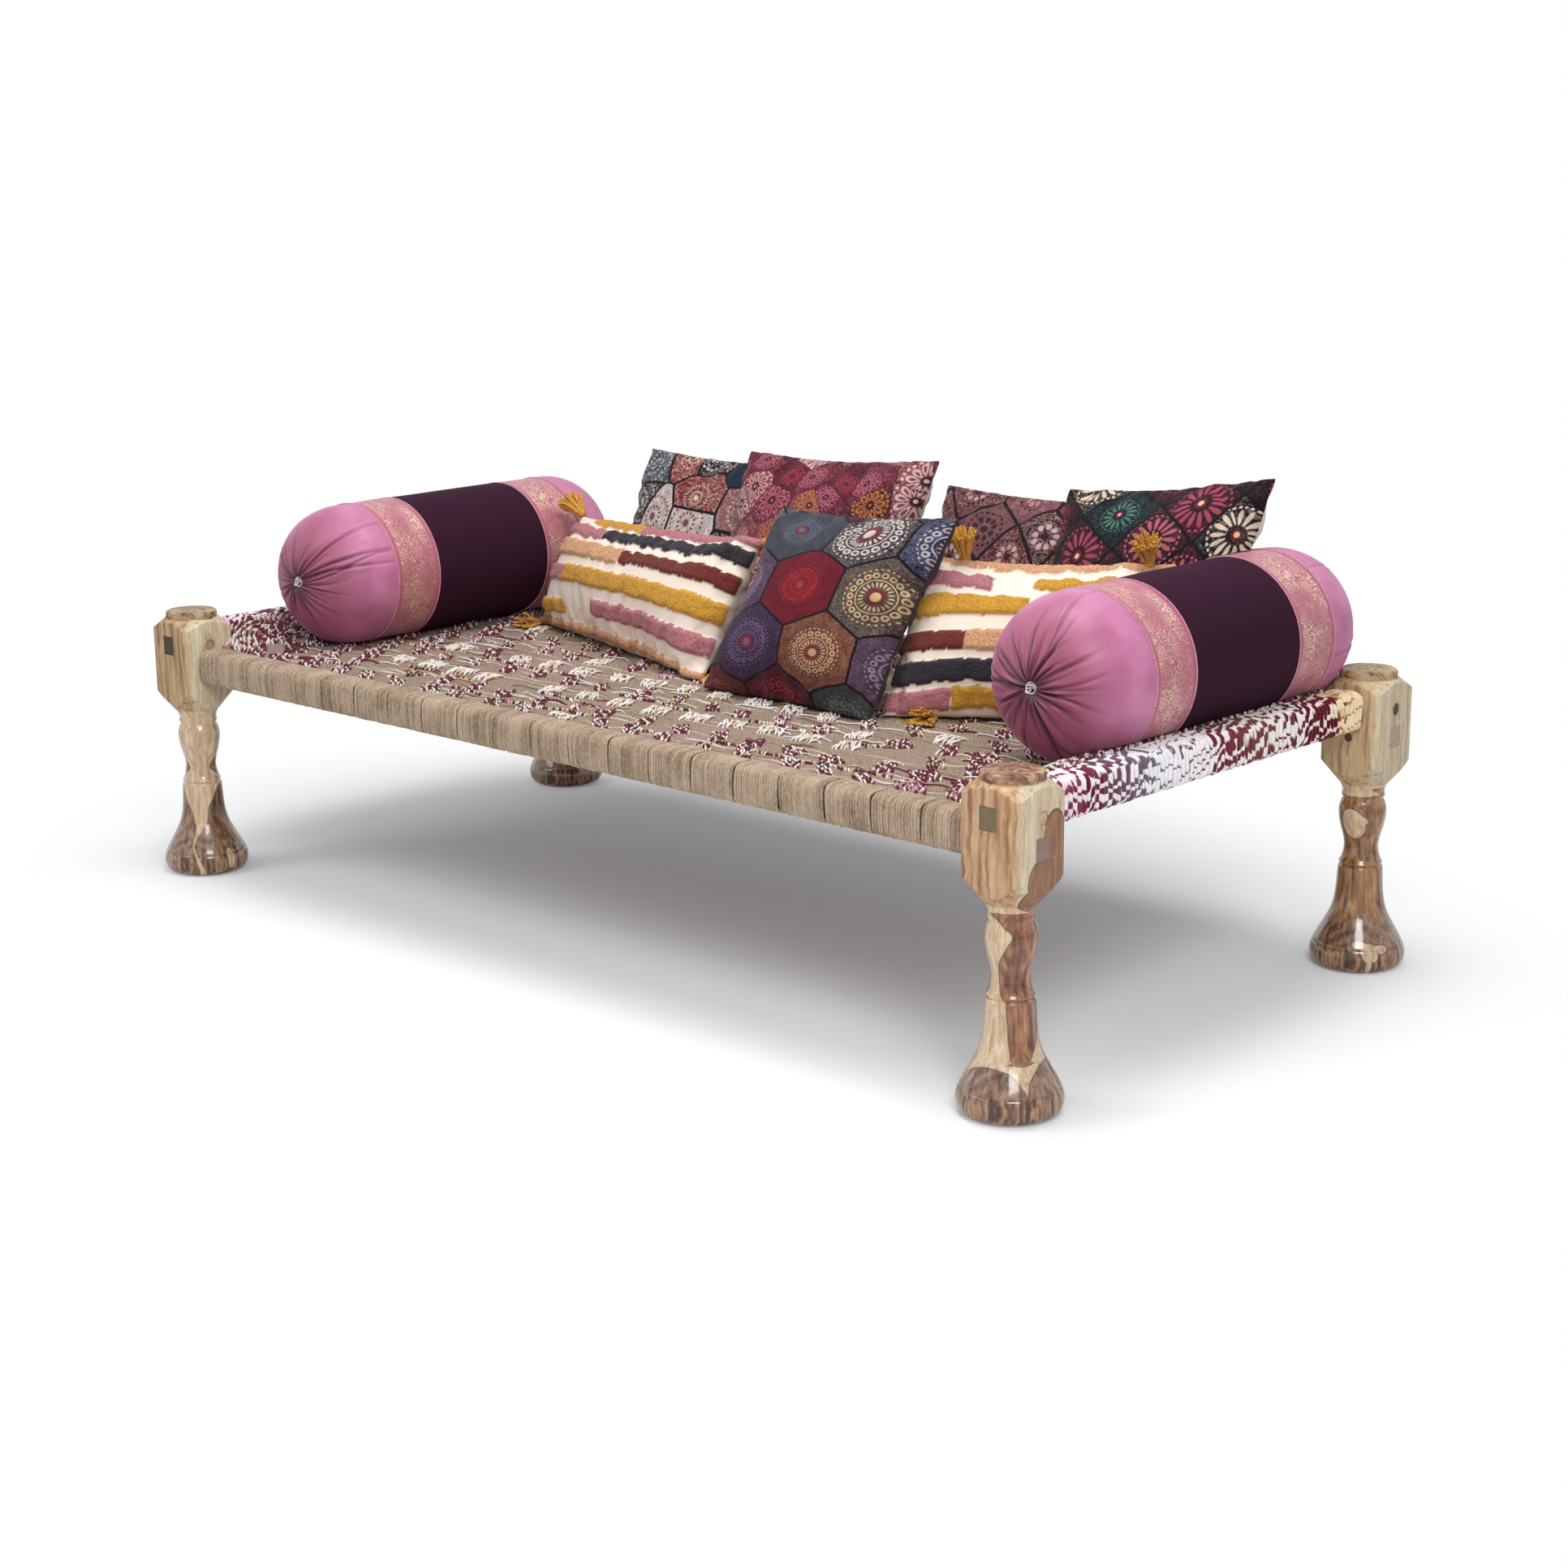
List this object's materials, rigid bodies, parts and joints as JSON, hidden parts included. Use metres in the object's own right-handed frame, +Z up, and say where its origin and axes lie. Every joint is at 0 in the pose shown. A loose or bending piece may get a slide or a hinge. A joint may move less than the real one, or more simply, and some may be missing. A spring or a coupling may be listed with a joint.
{
  "type": "charpai",
  "caption": "Low rope-woven bed on turned legs with pegged rails, dressed with bolsters and leaning cushions that lift off.",
  "frame": {"origin": "on the floor under the middle of the bed", "axes": "+Z up, +X towards the bed's right end, -Y towards its front side"},
  "size_m": [1.9, 0.972, 0.7273],
  "materials": {
    "turned_wood": "glossy shellac on hand-turned wood",
    "rail_wood": "plain planed wood",
    "jute_rope": "rough jute strands",
    "rag_rope": "twisted cotton rag rope",
    "woven_jute": "coarse woven jute with rag flecks",
    "satin": "satin with brocade bands",
    "thread": "cotton thread",
    "tufted_cotton": "cotton with tufted yarn stripes",
    "printed_cotton": "matte printed cotton",
    "mustard_yarn": "loose yarn"
  },
  "bodies": {
    "frame": {"leg_front_left": "turned_wood", "end_peg_front_left": "turned_wood", "side_peg_front_left": "turned_wood", "leg_front_right": "turned_wood", "end_peg_front_right": "turned_wood", "side_peg_front_right": "turned_wood", "leg_back_left": "turned_wood", "end_peg_back_left": "turned_wood", "side_peg_back_left": "turned_wood", "leg_back_right": "turned_wood", "end_peg_back_right": "turned_wood", "side_peg_back_right": "turned_wood", "side_rail_front": "rail_wood", "side_rail_back": "rail_wood", "end_rail_left": "rail_wood", "end_rail_right": "rail_wood", "jute_winding_front": "jute_rope", "jute_winding_back": "jute_rope", "rag_winding_left": "rag_rope", "rag_winding_right": "rag_rope", "woven_deck": "woven_jute"},
    "bolster_left": {"bolster_left": "satin", "bolster_tie_left_front": "thread", "bolster_tie_left_back": "thread"},
    "bolster_right": {"bolster_right": "satin", "bolster_tie_right_front": "thread", "bolster_tie_right_back": "thread"},
    "striped_cushion_left": {"cushion_striped_left": "tufted_cotton", "tassel_striped_left_lower_left": "mustard_yarn", "tassel_striped_left_upper_left": "mustard_yarn", "tassel_striped_left_lower_right": "mustard_yarn", "tassel_striped_left_upper_right": "mustard_yarn"},
    "striped_cushion_right": {"cushion_striped_right": "tufted_cotton", "tassel_striped_right_lower_left": "mustard_yarn", "tassel_striped_right_upper_left": "mustard_yarn", "tassel_striped_right_lower_right": "mustard_yarn", "tassel_striped_right_upper_right": "mustard_yarn"},
    "hexagon_cushion": {"cushion_hexagon": "printed_cotton"},
    "floral_cushion": {"cushion_floral": "printed_cotton"},
    "daisy_cushion": {"cushion_daisy": "printed_cotton"},
    "patchwork_cushion": {"cushion_patchwork": "printed_cotton"},
    "diamond_cushion": {"cushion_diamond": "printed_cotton"}
  },
  "joints": [
    {"name": "bolster_left_lift", "type": "slide", "parent": "frame", "child": "bolster_left", "axis": [-0.8192, 0, 0.5736], "range_m": [0, 0.45]},
    {"name": "bolster_right_lift", "type": "slide", "parent": "frame", "child": "bolster_right", "axis": [0.8192, 0, 0.5736], "range_m": [0, 0.45]},
    {"name": "striped_cushion_left_lift", "type": "slide", "parent": "frame", "child": "striped_cushion_left", "axis": [0, 0.4462, 0.8949], "range_m": [0, 0.45]},
    {"name": "striped_cushion_right_lift", "type": "slide", "parent": "frame", "child": "striped_cushion_right", "axis": [0, 0.4462, 0.8949], "range_m": [0, 0.45]},
    {"name": "hexagon_cushion_lift", "type": "slide", "parent": "frame", "child": "hexagon_cushion", "axis": [0, 0.4462, 0.8949], "range_m": [0, 0.45]},
    {"name": "floral_cushion_lift", "type": "slide", "parent": "frame", "child": "floral_cushion", "axis": [0, 0.4462, 0.8949], "range_m": [0, 0.45]},
    {"name": "daisy_cushion_lift", "type": "slide", "parent": "frame", "child": "daisy_cushion", "axis": [0, 0.4462, 0.8949], "range_m": [0, 0.45]},
    {"name": "patchwork_cushion_lift", "type": "slide", "parent": "frame", "child": "patchwork_cushion", "axis": [0, 0.4462, 0.8949], "range_m": [0, 0.45]},
    {"name": "diamond_cushion_lift", "type": "slide", "parent": "frame", "child": "diamond_cushion", "axis": [0, 0.4462, 0.8949], "range_m": [0, 0.45]}
  ]
}
